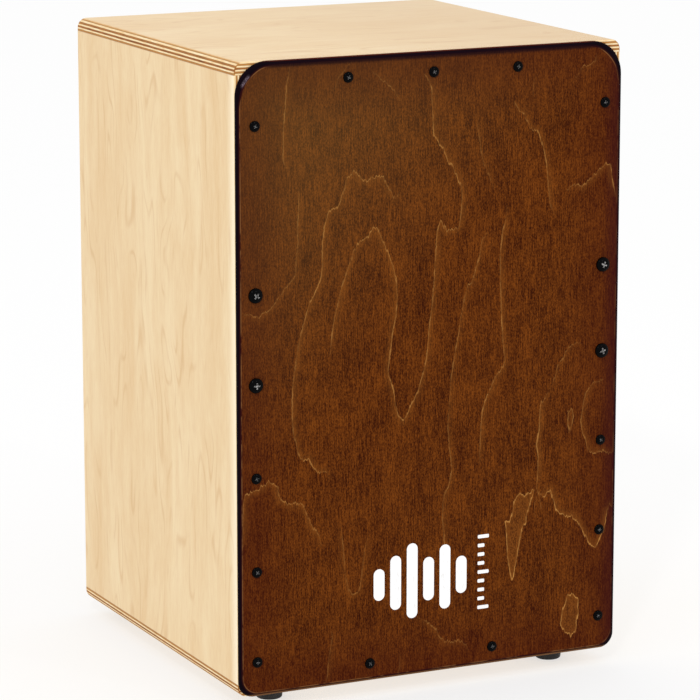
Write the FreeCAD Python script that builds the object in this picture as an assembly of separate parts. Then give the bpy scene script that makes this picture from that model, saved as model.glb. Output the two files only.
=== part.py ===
import FreeCAD, Part
import math
import os

# Snare cajon: a plywood box drum with a thin screwed-on front plate and snare strands behind it.
# Frame: millimetres, +Z up, front plate towards -Y, origin on the floor under the object's centre.
# Every node is written to parts/NODE.step as its own closed solid, or as its group of solids.

V = FreeCAD.Vector
PARTS_FOLDER = "parts"

# ---- driving dimensions, in millimetres ----
BODY_WIDTH = 300.0
BODY_HEIGHT = 447.0
BODY_DEPTH = 287.0           # plywood body, without the front plate
PANEL = 9.0                  # seven-ply birch for the top, bottom and sides
BACK_PANEL = 5.0
EDGE_ROUND = 7.0             # long outer edges of the top and bottom panels
EASED_EDGE = 1.2             # front and back arrises of the body
PORT_RADIUS = 57.5
PORT_HEIGHT = 225.0          # centre of the sound port above the body's underside
PORT_ROUND = 1.5

PLATE = 3.0                  # front plate thickness
PLATE_CORNER_TOP = 24.0
PLATE_CORNER_BOTTOM = 11.0
# The rounded-over front arris as facets: inset from the outline, depth below the plate's face,
# and how much the top and the bottom corner radii have grown there.
PLATE_ARRIS = ((0.0, 1.5, 0.0, 0.0), (0.9, 0.5, 2.5, 0.4), (2.6, 0.0, 6.0, 1.0))

FRONT_BATTEN_WIDTH = 20.0
FRONT_BATTEN_DEPTH = 18.0
REAR_BATTEN = 15.0
GLUE_BLOCK_LEG = 18.0

# Front plate screws: insets from the plate's edges, and heights above its lower edge.
SIDE_SCREW_INSET = 13.5
TOP_SCREW_INSET = 14.5
BOTTOM_SCREW_INSET = 12.8
SIDE_SCREW_HEIGHTS = (25.0, 90.0, 157.0, 403.0)
LARGE_SCREW_HEIGHTS = (223.0, 286.0)
TOP_SCREW_PITCH = 66.0
BOTTOM_SCREW_PITCH = 98.0
HOLE_CLEARANCE = 0.25
PILOT_EXTRA_DEPTH = 1.0

SNARE_BAR_HEIGHT = 292.0     # middle of the crossbar above the body's underside
SNARE_BAR_TALL = 24.0
SNARE_BAR_DEEP = 16.0
BAR_SCREW_INSET = 10.0       # from the inside of the side panels
SNARE_SET_OFFSET = 62.0      # middle of each set of strands, left and right of the centre
STRANDS_PER_SET = 10
STRAND_RADIUS = 0.95
STRAND_PITCH = 5.2
STRAND_FAN = 0.3             # degrees of extra splay from one strand to the next
STRAND_TOP_HEIGHT = 398.0    # tips of the strands above the body's underside
STRAND_TIP_GAP = 0.3         # between the strands' tips and the front plate
STRAND_BEND_SETBACK = 3.0
CLAMP_TALL = 12.0
CLAMP_METAL = 1.3
CLAMP_TAB = 10.0
CLAMP_DROP = 5.0             # middle of the clamps below the middle of the crossbar

FOOT_SIDE_INSET = 37.0       # from the body's outer side faces to the middle of each foot
FOOT_END_INSET = 29.0        # from the body's front and back ends to the middle of each foot
FOOT_HEIGHT = 12.0
FOOT_TOP_RADIUS = 10.4
FOOT_BOTTOM_RADIUS = 9.2
FOOT_LIP_ROUND = 1.5
FOOT_RECESS_RADIUS = 5.4
FOOT_RECESS_DEPTH = 7.0
WASHER_RADIUS = 5.0
WASHER_THICK = 1.0


class Screw:
    """Sizes of one kind of cross-recessed screw."""

    def __init__(self, head_radius, head_height, rim, shank_radius, length):
        self.head_radius = head_radius
        self.head_height = head_height
        self.rim = rim                      # straight part of the head under its dome
        self.shank_radius = shank_radius
        self.length = length                # from the underside of the head to the tip


SMALL_SCREW = Screw(3.8, 1.7, 0.5, 1.5, 19.0)
LARGE_SCREW = Screw(5.3, 2.8, 0.6, 1.9, 19.0)
BAR_SCREW = Screw(3.6, 1.8, 0.5, 1.5, 30.0)
CLAMP_SCREW = Screw(2.8, 1.6, 0.4, 1.2, 11.0)
FOOT_SCREW = Screw(3.9, 2.2, 0.6, 1.7, 13.0)

# ---- places that follow from them ----
TOTAL_DEPTH = LARGE_SCREW.head_height + PLATE + BODY_DEPTH
PLATE_FACE = LARGE_SCREW.head_height - TOTAL_DEPTH / 2
BODY_FRONT = PLATE_FACE + PLATE
BODY_BACK = BODY_FRONT + BODY_DEPTH
SIDE = BODY_WIDTH / 2
INNER_SIDE = SIDE - PANEL
BODY_BOTTOM = FOOT_HEIGHT
BODY_TOP = BODY_BOTTOM + BODY_HEIGHT
INNER_BOTTOM = BODY_BOTTOM + PANEL
INNER_TOP = BODY_TOP - PANEL
BATTEN_BACK = BODY_FRONT + FRONT_BATTEN_DEPTH
BACK_PANEL_FRONT = BODY_BACK - BACK_PANEL
REAR_BATTEN_FRONT = BACK_PANEL_FRONT - REAR_BATTEN
PORT_Z = BODY_BOTTOM + PORT_HEIGHT
BAR_Z = BODY_BOTTOM + SNARE_BAR_HEIGHT
CLAMP_Z = BAR_Z - CLAMP_DROP
STRAND_SPAN = (STRANDS_PER_SET - 1) * STRAND_PITCH
CLAMP_CHANNEL = STRAND_SPAN / 2 + STRAND_RADIUS + 0.6
CLAMP_SCREW_OFFSET = CLAMP_CHANNEL + CLAMP_METAL + CLAMP_TAB / 2


# ---- helpers ----

def box(x0, x1, y0, y1, z0, z1):
    """A block between two values on each axis, given in either order."""
    low = V(min(x0, x1), min(y0, y1), min(z0, z1))
    return Part.makeBox(abs(x1 - x0), abs(y1 - y0), abs(z1 - z0), low)


def rod(radius, start, end):
    """A round bar from one point to another."""
    line = V(*end) - V(*start)
    return Part.makeCylinder(radius, line.Length, V(*start), line)


def near(a, b):
    return abs(a - b) < 1e-4


def edges_where(shape, test):
    """The edges whose sample points all pass the test."""
    found = []
    for edge in shape.Edges:
        span = edge.LastParameter - edge.FirstParameter
        points = [edge.valueAt(edge.FirstParameter + span * k / 4) for k in range(5)]
        if all(test(p) for p in points):
            found.append(edge)
    return found


# ---- screws ----

def cross_recess(screw):
    """Two crossed wedges that narrow towards the shank."""
    top = -screw.head_height - 0.5
    floor = -screw.head_height * 0.42
    wide = screw.head_radius * 0.55
    thick = screw.head_radius * 0.13
    deep = wide * 0.4
    thin = thick * 0.6
    arm = Part.makeWedge(-wide, top, -thick, -thin, -deep, wide, floor, thick, thin, deep)
    other_arm = arm.copy()
    other_arm.rotate(V(0, 0, 0), V(0, 1, 0), 90)
    return arm.fuse(other_arm)


def screw_solid(screw):
    """A screw along Y: underside of the head at the origin, tip towards +Y."""
    radius = screw.shank_radius
    shoulder = -screw.rim
    crown = -screw.head_height
    corners = (
        V(0, crown, 0),
        V(0, screw.length, 0),
        V(radius, screw.length - 2.0 * radius, 0),
        V(radius, 0, 0),
        V(screw.head_radius, 0, 0),
        V(screw.head_radius, shoulder, 0),
    )
    profile = [Part.makeLine(a, b) for a, b in zip(corners, corners[1:])]
    dome = Part.Ellipse(corners[-1], corners[0], V(0, shoulder, 0))
    profile.append(Part.ArcOfEllipse(dome, 0, math.pi / 2).toShape())
    solid = Part.Face(Part.Wire(profile)).revolve(V(0, 0, 0), V(0, 1, 0), 360)
    return solid.cut(cross_recess(screw))


def driven(screw, place, direction, spin):
    """A screw with its head's underside at a place, its tip in a direction, turned by spin."""
    solid = screw_solid(screw)
    solid.rotate(V(0, 0, 0), V(0, 1, 0), spin)
    swing = FreeCAD.Rotation(V(0, 1, 0), V(*direction))
    solid.rotate(V(0, 0, 0), swing.Axis, math.degrees(swing.Angle))
    solid.translate(V(*place))
    return solid


def screw_group(screw, places, direction):
    """One node of identical screws; each recess stops at its own angle."""
    solids = [driven(screw, p, direction, 37.0 * k % 90) for k, p in enumerate(places)]
    return Part.makeCompound(solids)


def side_columns(heights):
    """(x, z) of the plate screws in both side rows at the given heights."""
    column = SIDE - SIDE_SCREW_INSET
    return [(sign * column, BODY_BOTTOM + h) for sign in (-1, 1) for h in heights]


def small_screw_places():
    places = side_columns(SIDE_SCREW_HEIGHTS)
    places += [(k * TOP_SCREW_PITCH, BODY_TOP - TOP_SCREW_INSET) for k in (-1, 0, 1)]
    places += [(k * BOTTOM_SCREW_PITCH / 2, BODY_BOTTOM + BOTTOM_SCREW_INSET) for k in (-1, 1)]
    return places


def plate_screw_kinds():
    """Each kind of plate screw with the (x, z) of its screws."""
    return ((SMALL_SCREW, small_screw_places()), (LARGE_SCREW, side_columns(LARGE_SCREW_HEIGHTS)))


def plate_screws(kind):
    screw, places = plate_screw_kinds()[kind]
    return screw_group(screw, [(x, PLATE_FACE, z) for x, z in places], (0, 1, 0))


def bar_screw_places():
    x = INNER_SIDE - BAR_SCREW_INSET
    return [(sign * x, BATTEN_BACK + SNARE_BAR_DEEP, BAR_Z) for sign in (-1, 1)]


def clamp_screw_places():
    places = []
    for middle in (-SNARE_SET_OFFSET, SNARE_SET_OFFSET):
        for sign in (-1, 1):
            x = middle + sign * CLAMP_SCREW_OFFSET
            places.append((x, BATTEN_BACK - CLAMP_METAL, CLAMP_Z))
    return places


def foot_centres():
    """(x, y) of each foot by its node name."""
    x = SIDE - FOOT_SIDE_INSET
    front = BODY_FRONT + FOOT_END_INSET
    rear = BODY_BACK - FOOT_END_INSET
    return {
        "foot_front_left": (-x, front),
        "foot_front_right": (x, front),
        "foot_rear_left": (-x, rear),
        "foot_rear_right": (x, rear),
    }


# ---- plywood body ----

def horizontal_panel(outer, inner):
    """The top or bottom panel, from the heights of its outer and inner faces."""
    panel = box(-SIDE, SIDE, BODY_FRONT, BODY_BACK, outer, inner)
    long_edges = edges_where(panel, lambda p: near(abs(p.x), SIDE) and near(p.z, outer))
    panel = panel.makeFillet(EDGE_ROUND, long_edges)
    for end in (BODY_FRONT, BODY_BACK):
        rim = edges_where(panel, lambda p: near(p.y, end))
        rim = [e for e in rim if not all(near(v.Point.z, inner) for v in e.Vertexes)]
        panel = panel.makeFillet(EASED_EDGE, rim)
    return panel


def bottom_panel():
    panel = horizontal_panel(BODY_BOTTOM, INNER_BOTTOM)
    tip = FOOT_RECESS_DEPTH - WASHER_THICK + FOOT_SCREW.length
    for x, y in foot_centres().values():
        panel = panel.cut(rod(FOOT_SCREW.shank_radius, (x, y, 0), (x, y, tip + 0.5)))
    return panel


def side_panel(sign):
    outer = sign * SIDE
    panel = box(sign * INNER_SIDE, outer, BODY_FRONT, BODY_BACK, INNER_BOTTOM, INNER_TOP)
    arrises = edges_where(
        panel,
        lambda p: near(p.x, outer) and (near(p.y, BODY_FRONT) or near(p.y, BODY_BACK)),
    )
    return panel.makeFillet(EASED_EDGE, arrises)


def back_panel():
    panel = box(-INNER_SIDE, INNER_SIDE, BACK_PANEL_FRONT, BODY_BACK, INNER_BOTTOM, INNER_TOP)
    port = rod(PORT_RADIUS, (0, BACK_PANEL_FRONT - 1, PORT_Z), (0, BODY_BACK + 1, PORT_Z))
    panel = panel.cut(port)
    rim = edges_where(
        panel,
        lambda p: near(p.y, BODY_BACK) and near(math.hypot(p.x, p.z - PORT_Z), PORT_RADIUS),
    )
    return panel.makeFillet(PORT_ROUND, rim)


# ---- front plate ----

def plate_outline(y, inset, top_radius, bottom_radius):
    """A closed wire at depth y: the plate's rounded rectangle, moved in by inset all round."""
    half = SIDE - inset
    low = BODY_BOTTOM + inset
    high = BODY_TOP - inset
    corners = (
        (half - top_radius, high - top_radius, top_radius, 0),
        (top_radius - half, high - top_radius, top_radius, 90),
        (bottom_radius - half, low + bottom_radius, bottom_radius, 180),
        (half - bottom_radius, low + bottom_radius, bottom_radius, 270),
    )
    arcs = []
    for x, z, radius, start in corners:
        angles = [math.radians(start + turn) for turn in (0, 45, 90)]
        arcs.append([V(x + radius * math.cos(a), y, z + radius * math.sin(a)) for a in angles])
    edges = []
    for here, following in zip(arcs, arcs[1:] + arcs[:1]):
        edges.append(Part.Arc(*here).toShape())
        edges.append(Part.makeLine(here[2], following[0]))
    return Part.Wire(edges)


def front_plate():
    sections = [plate_outline(BODY_FRONT, 0, PLATE_CORNER_TOP, PLATE_CORNER_BOTTOM)]
    for inset, depth, top_growth, bottom_growth in PLATE_ARRIS:
        top_radius = PLATE_CORNER_TOP + top_growth
        bottom_radius = PLATE_CORNER_BOTTOM + bottom_growth
        sections.append(plate_outline(PLATE_FACE + depth, inset, top_radius, bottom_radius))
    plate = Part.makeLoft(sections, True, True)
    for screw, places in plate_screw_kinds():
        radius = screw.shank_radius + HOLE_CLEARANCE
        for x, z in places:
            plate = plate.cut(rod(radius, (x, PLATE_FACE - 1, z), (x, BODY_FRONT + 1, z)))
    return plate


# ---- battens and glue blocks ----

def drilled_for_plate(batten):
    """Pilot holes for those plate screws that land on this batten."""
    bounds = batten.BoundBox
    for screw, places in plate_screw_kinds():
        end = PLATE_FACE + screw.length + PILOT_EXTRA_DEPTH
        for x, z in places:
            if bounds.XMin < x < bounds.XMax and bounds.ZMin < z < bounds.ZMax:
                hole = rod(screw.shank_radius, (x, BODY_FRONT - 1, z), (x, end, z))
                batten = batten.cut(hole)
    return batten


def front_upright_batten(sign):
    inner = sign * (INNER_SIDE - FRONT_BATTEN_WIDTH)
    batten = box(inner, sign * INNER_SIDE, BODY_FRONT, BATTEN_BACK, INNER_BOTTOM, INNER_TOP)
    batten = drilled_for_plate(batten)
    end = BATTEN_BACK + SNARE_BAR_DEEP - BAR_SCREW.length - PILOT_EXTRA_DEPTH
    for x, _, z in bar_screw_places():
        if x * sign > 0:
            hole = rod(BAR_SCREW.shank_radius, (x, BATTEN_BACK + 1, z), (x, end, z))
            batten = batten.cut(hole)
    return batten


def front_cross_batten(z0, z1):
    reach = INNER_SIDE - FRONT_BATTEN_WIDTH
    return drilled_for_plate(box(-reach, reach, BODY_FRONT, BATTEN_BACK, z0, z1))


def rear_upright_batten(sign):
    inner, outer = sign * (INNER_SIDE - REAR_BATTEN), sign * INNER_SIDE
    return box(inner, outer, REAR_BATTEN_FRONT, BACK_PANEL_FRONT, INNER_BOTTOM, INNER_TOP)


def rear_cross_batten(z0, z1):
    reach = INNER_SIDE - REAR_BATTEN
    return box(-reach, reach, REAR_BATTEN_FRONT, BACK_PANEL_FRONT, z0, z1)


def glue_block(sign, corner_z, up):
    """A three-cornered strip along a body corner, between the front and the rear battens."""
    x = sign * INNER_SIDE
    corners = [
        V(x, BATTEN_BACK, corner_z),
        V(x - sign * GLUE_BLOCK_LEG, BATTEN_BACK, corner_z),
        V(x, BATTEN_BACK, corner_z + up * GLUE_BLOCK_LEG),
    ]
    section = Part.Face(Part.makePolygon(corners + corners[:1]))
    return section.extrude(V(0, REAR_BATTEN_FRONT - BATTEN_BACK, 0))


# ---- snare ----

def snare_crossbar():
    low, high = BAR_Z - SNARE_BAR_TALL / 2, BAR_Z + SNARE_BAR_TALL / 2
    back = BATTEN_BACK + SNARE_BAR_DEEP
    bar = box(-INNER_SIDE, INNER_SIDE, BATTEN_BACK, back, low, high)
    for x, _, z in bar_screw_places():
        bar = bar.cut(rod(BAR_SCREW.shank_radius, (x, BATTEN_BACK - 1, z), (x, back + 1, z)))
    pilot_end = BATTEN_BACK - CLAMP_METAL + CLAMP_SCREW.length + PILOT_EXTRA_DEPTH
    for x, _, z in clamp_screw_places():
        bar = bar.cut(rod(CLAMP_SCREW.shank_radius, (x, BATTEN_BACK - 1, z), (x, pilot_end, z)))
    return bar


def snare_clamp(sign):
    """A pressed strap: a raised channel over the strands, and a screw tab at each end."""
    middle = sign * SNARE_SET_OFFSET
    low, high = CLAMP_Z - CLAMP_TALL / 2, CLAMP_Z + CLAMP_TALL / 2
    raised = BATTEN_BACK - 2 * STRAND_RADIUS
    outer = CLAMP_CHANNEL + CLAMP_METAL
    reach = outer + CLAMP_TAB
    strap = box(middle - outer, middle + outer, raised - CLAMP_METAL, BATTEN_BACK, low, high)
    tabs = box(middle - reach, middle + reach, BATTEN_BACK - CLAMP_METAL, BATTEN_BACK, low, high)
    left, right = middle - CLAMP_CHANNEL, middle + CLAMP_CHANNEL
    channel = box(left, right, raised, BATTEN_BACK + 1, low - 1, high + 1)
    strap = strap.fuse(tabs).cut(channel).removeSplitter()
    for x, y, z in clamp_screw_places():
        strap = strap.cut(rod(CLAMP_SCREW.shank_radius, (x, y - 1, z), (x, BATTEN_BACK + 1, z)))
    return strap


def bent_rod(radius, start, bend, end, setback):
    """A round bar with one smooth bend, whose arc begins and ends a setback from the corner."""
    before = (bend - start).normalize()
    after = (end - bend).normalize()
    half_turn = before.getAngle(after) / 2
    arc_radius = setback / math.tan(half_turn)
    inward = (after - before).normalize()
    arc_start = bend - before * setback
    arc_middle = bend + inward * (arc_radius / math.cos(half_turn) - arc_radius)
    arc_end = bend + after * setback
    path = Part.Wire([
        Part.makeLine(start, arc_start),
        Part.Arc(arc_start, arc_middle, arc_end).toShape(),
        Part.makeLine(arc_end, end),
    ])
    section = Part.Wire(Part.makeCircle(radius, start, before))
    return path.makePipeShell([section], True, True)


def snare_strand(x, splay):
    """One strand: upright under the clamp, then leaning forward to the back of the plate."""
    y = BATTEN_BACK - STRAND_RADIUS
    bend_z = CLAMP_Z + CLAMP_TALL / 2 + STRAND_BEND_SETBACK + 0.5
    tip_z = BODY_BOTTOM + STRAND_TOP_HEIGHT
    drift = (tip_z - bend_z) * math.tan(math.radians(splay))
    start = V(x, y, CLAMP_Z - CLAMP_TALL / 2 - 2)
    bend = V(x, y, bend_z)
    tip = V(x + drift, BODY_FRONT + STRAND_TIP_GAP + STRAND_RADIUS, tip_z)
    return bent_rod(STRAND_RADIUS, start, bend, tip, STRAND_BEND_SETBACK)


def snare_strands(sign):
    middle = sign * SNARE_SET_OFFSET
    strands = []
    for k in range(STRANDS_PER_SET):
        step = k - (STRANDS_PER_SET - 1) / 2
        strands.append(snare_strand(middle + step * STRAND_PITCH, step * STRAND_FAN))
    return Part.makeCompound(strands)


# ---- feet ----

def rubber_foot(x, y):
    foot = Part.makeCone(FOOT_BOTTOM_RADIUS, FOOT_TOP_RADIUS, FOOT_HEIGHT, V(x, y, 0))
    lip = edges_where(foot, lambda p: near(p.z, 0) and not near(math.hypot(p.x - x, p.y - y), 0))
    foot = foot.makeFillet(FOOT_LIP_ROUND, lip)
    foot = foot.cut(rod(FOOT_RECESS_RADIUS, (x, y, -1), (x, y, FOOT_RECESS_DEPTH)))
    return foot.cut(rod(FOOT_SCREW.shank_radius, (x, y, -1), (x, y, FOOT_HEIGHT + 1)))


def foot_washer(x, y):
    top = FOOT_RECESS_DEPTH
    washer = rod(WASHER_RADIUS, (x, y, top - WASHER_THICK), (x, y, top))
    return washer.cut(rod(FOOT_SCREW.shank_radius, (x, y, 0), (x, y, FOOT_HEIGHT)))


def foot_screws():
    head_seat = FOOT_RECESS_DEPTH - WASHER_THICK
    places = [(x, y, head_seat) for x, y in foot_centres().values()]
    return screw_group(FOOT_SCREW, places, (0, 0, 1))


# ---- the assembly ----

def build_nodes():
    """Every node's shape by its name."""
    feet = foot_centres()
    nodes = {
        "top_panel": horizontal_panel(BODY_TOP, INNER_TOP),
        "bottom_panel": bottom_panel(),
        "left_side_panel": side_panel(-1),
        "right_side_panel": side_panel(1),
        "back_panel": back_panel(),
        "front_plate": front_plate(),
        "plate_screws_small": plate_screws(0),
        "plate_screws_large": plate_screws(1),
        "front_batten_left": front_upright_batten(-1),
        "front_batten_right": front_upright_batten(1),
        "front_batten_top": front_cross_batten(INNER_TOP - FRONT_BATTEN_WIDTH, INNER_TOP),
        "front_batten_bottom": front_cross_batten(INNER_BOTTOM, INNER_BOTTOM + FRONT_BATTEN_WIDTH),
        "rear_batten_left": rear_upright_batten(-1),
        "rear_batten_right": rear_upright_batten(1),
        "rear_batten_top": rear_cross_batten(INNER_TOP - REAR_BATTEN, INNER_TOP),
        "rear_batten_bottom": rear_cross_batten(INNER_BOTTOM, INNER_BOTTOM + REAR_BATTEN),
        "glue_block_top_left": glue_block(-1, INNER_TOP, -1),
        "glue_block_top_right": glue_block(1, INNER_TOP, -1),
        "glue_block_bottom_left": glue_block(-1, INNER_BOTTOM, 1),
        "glue_block_bottom_right": glue_block(1, INNER_BOTTOM, 1),
        "snare_crossbar": snare_crossbar(),
        "crossbar_screws": screw_group(BAR_SCREW, bar_screw_places(), (0, -1, 0)),
        "snare_clamp_left": snare_clamp(-1),
        "snare_clamp_right": snare_clamp(1),
        "snare_clamp_screws": screw_group(CLAMP_SCREW, clamp_screw_places(), (0, 1, 0)),
        "snare_strands_left": snare_strands(-1),
        "snare_strands_right": snare_strands(1),
        "foot_washers": Part.makeCompound([foot_washer(x, y) for x, y in feet.values()]),
        "foot_screws": foot_screws(),
    }
    for name, (x, y) in feet.items():
        nodes[name] = rubber_foot(x, y)
    return nodes


def main():
    os.makedirs(PARTS_FOLDER, exist_ok=True)
    for name, shape in build_nodes().items():
        shape.exportStep(os.path.join(PARTS_FOLDER, name + ".step"))
        print(name, len(shape.Solids), "solid(s), valid:", shape.isValid())


main()
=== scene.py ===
import math

import bmesh
import bpy
import numpy as np
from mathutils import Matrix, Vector


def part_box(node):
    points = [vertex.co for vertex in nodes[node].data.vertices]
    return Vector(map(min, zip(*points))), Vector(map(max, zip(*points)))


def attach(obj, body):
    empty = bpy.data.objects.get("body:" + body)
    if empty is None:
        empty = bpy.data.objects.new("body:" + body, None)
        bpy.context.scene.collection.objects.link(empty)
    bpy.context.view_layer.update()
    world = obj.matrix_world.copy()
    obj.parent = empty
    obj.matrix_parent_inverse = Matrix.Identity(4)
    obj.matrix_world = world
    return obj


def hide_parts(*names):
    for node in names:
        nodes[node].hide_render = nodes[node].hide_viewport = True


# The looks of the snare cajon. The row frame is in metres; lengths below are in millimetres
# unless a name says otherwise, because that is how the wood and the screws are sized.

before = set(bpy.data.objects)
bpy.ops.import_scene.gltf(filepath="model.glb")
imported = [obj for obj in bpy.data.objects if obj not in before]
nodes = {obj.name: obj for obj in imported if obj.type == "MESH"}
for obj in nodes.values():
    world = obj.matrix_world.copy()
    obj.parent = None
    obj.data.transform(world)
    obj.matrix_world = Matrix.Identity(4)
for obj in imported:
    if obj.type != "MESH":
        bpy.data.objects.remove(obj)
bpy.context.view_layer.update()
MM = 0.001


def box_mm(node):
    """The lowest and highest corners of a CAD node, in millimetres."""
    low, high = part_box(node)
    return low / MM, high / MM


PLATE_LOW, PLATE_HIGH = box_mm("front_plate")
BODY_LOW, _ = box_mm("bottom_panel")
_, BODY_HIGH = box_mm("top_panel")
SIDE_LOW, SIDE_HIGH = box_mm("left_side_panel")
HALF_WIDTH = PLATE_HIGH.x


# ---- shader building ----

class Shader:
    """One material's node tree. Each method adds a node and returns its output socket."""

    def __init__(self, name):
        self.material = bpy.data.materials.new(name)
        self.material.use_nodes = True
        self.tree = self.material.node_tree
        self.bsdf = self.tree.nodes["Principled BSDF"]

    def put(self, socket, value):
        if isinstance(value, bpy.types.NodeSocket):
            self.tree.links.new(value, socket)
        else:
            socket.default_value = value

    def node(self, kind, **settings):
        made = self.tree.nodes.new(kind)
        for key, value in settings.items():
            setattr(made, key, value)
        return made

    def math(self, operation, a, b=0.0, c=0.0):
        made = self.node("ShaderNodeMath", operation=operation)
        for socket, value in zip(made.inputs, (a, b, c)):
            self.put(socket, value)
        return made.outputs[0]

    def vector(self, operation, a, b=(0, 0, 0)):
        made = self.node("ShaderNodeVectorMath", operation=operation)
        self.put(made.inputs[0], a)
        self.put(made.inputs[1], b)
        return made.outputs["Value" if operation in ("DOT_PRODUCT", "DISTANCE") else "Vector"]

    def step(self, value, start, end, low=0.0, high=1.0):
        """A smooth step: low where value is at start, high where it is at end."""
        made = self.node("ShaderNodeMapRange", interpolation_type="SMOOTHSTEP")
        for socket, v in zip(made.inputs, (value, start, end, low, high)):
            self.put(socket, v)
        return made.outputs[0]

    def mix(self, factor, a, b):
        made = self.node("ShaderNodeMix", data_type="RGBA")
        self.put(made.inputs[0], factor)
        self.put(made.inputs[6], a)
        self.put(made.inputs[7], b)
        return made.outputs[2]

    def blend(self, factor, a, b):
        """Mix of two numbers."""
        made = self.node("ShaderNodeMix", data_type="FLOAT")
        self.put(made.inputs[0], factor)
        self.put(made.inputs[2], a)
        self.put(made.inputs[3], b)
        return made.outputs[0]

    def place(self):
        """Position in the row frame, in millimetres."""
        made = self.node("ShaderNodeTexCoord")
        scaled = self.node("ShaderNodeVectorMath", operation="SCALE")
        self.put(scaled.inputs[0], made.outputs["Object"])
        scaled.inputs["Scale"].default_value = 1 / MM
        return scaled.outputs[0]

    def parts(self, vector):
        made = self.node("ShaderNodeSeparateXYZ")
        self.put(made.inputs[0], vector)
        return made.outputs

    def noise(self, vector, size, offset=0.0, detail=2.0, roughness=0.5):
        """Smooth noise about 0.5 whose features are size (x, y, z) millimetres."""
        mapping = self.node("ShaderNodeMapping")
        self.put(mapping.inputs["Vector"], vector)
        mapping.inputs["Location"].default_value = (offset, offset * 0.7, -offset)
        mapping.inputs["Scale"].default_value = [1 / s for s in size]
        made = self.node("ShaderNodeTexNoise")
        self.put(made.inputs["Vector"], mapping.outputs[0])
        made.inputs["Scale"].default_value = 1.0
        made.inputs["Detail"].default_value = detail
        made.inputs["Roughness"].default_value = roughness
        return made.outputs["Fac"]

    def attribute(self, name):
        made = self.node("ShaderNodeAttribute", attribute_name=name)
        return made.outputs["Fac"]

    def normal(self):
        return self.node("ShaderNodeNewGeometry").outputs["Normal"]

    def bump(self, height, depth_mm, strength=1.0):
        made = self.node("ShaderNodeBump")
        made.inputs["Strength"].default_value = strength
        made.inputs["Distance"].default_value = depth_mm * MM
        self.put(made.inputs["Height"], height)
        self.put(self.bsdf.inputs["Normal"], made.outputs[0])

    def finish(self, colour, roughness, specular=0.5, metallic=0.0):
        self.put(self.bsdf.inputs["Base Color"], colour)
        self.put(self.bsdf.inputs["Roughness"], roughness)
        self.put(self.bsdf.inputs["Specular IOR Level"], specular)
        self.bsdf.inputs["Metallic"].default_value = metallic
        return self.material


def srgb(red, green, blue):
    """A display colour, 0 to 255, as the linear colour that shaders take."""
    linear = []
    for value in (red, green, blue):
        c = value / 255
        linear.append(c / 12.92 if c <= 0.04045 else ((c + 0.055) / 1.055) ** 2.4)
    return (*linear, 1.0)


# ---- wood ----

AXES = {"X": (1, 0, 0), "Y": (0, 1, 0), "Z": (0, 0, 1)}


def along(axis, length, width):
    """Noise feature sizes for a grain that runs along one axis."""
    return [length if name == axis else width for name in "XYZ"]


def birch_face(s, place, grain, seed, spread=1.0):
    """Clear-lacquered birch veneer with its grain along one axis: soft wavy flames and flecks.
    Spread widens the flames across the grain."""
    sway = s.noise(place, along(grain, 150, 60), seed + 1, 2, 0.4)
    across = s.vector("SUBTRACT", (1, 1, 1), AXES[grain])
    push = s.node("ShaderNodeVectorMath", operation="SCALE")
    s.put(push.inputs[0], across)
    s.put(push.inputs["Scale"], s.math("MULTIPLY", s.math("SUBTRACT", sway, 0.5), 48.0))
    wavy = s.vector("ADD", place, push.outputs[0])
    broad = s.noise(wavy, along(grain, 260, 40 * spread), seed, 2)
    flame = s.noise(wavy, along(grain, 80, 9 * spread), seed + 3, 3, 0.5)
    fleck = s.noise(place, along(grain, 7, 0.7), seed + 5, 2, 0.6)
    fibre = s.noise(place, along(grain, 14, 1.4 * spread), seed + 8, 2, 0.5)
    rings = s.math("MULTIPLY", s.noise(wavy, along(grain, 170, 30), seed + 11, 1, 0.4), 9.0)
    ring = s.math("ABSOLUTE", s.math("SUBTRACT", s.math("FRACT", rings), 0.5))
    faded = s.step(s.noise(wavy, along(grain, 60, 25), seed + 15, 2), 0.42, 0.62)
    ring_line = s.math("MULTIPLY", s.step(ring, 0.17, 0.0, 0.0, 0.5), faded)
    tone = s.math("MULTIPLY_ADD", broad, 0.5, -0.09)
    tone = s.math("MULTIPLY_ADD", flame, 0.45, tone)
    tone = s.math("MULTIPLY_ADD", fibre, 0.28, tone)
    tone = s.math("MULTIPLY_ADD", fleck, 0.32, tone)
    colour = s.mix(s.step(tone, 0.42, 0.96), srgb(226, 191, 140), srgb(239, 215, 172))
    colour = s.mix(ring_line, colour, srgb(211, 168, 113))
    return colour, fleck, fibre


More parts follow.
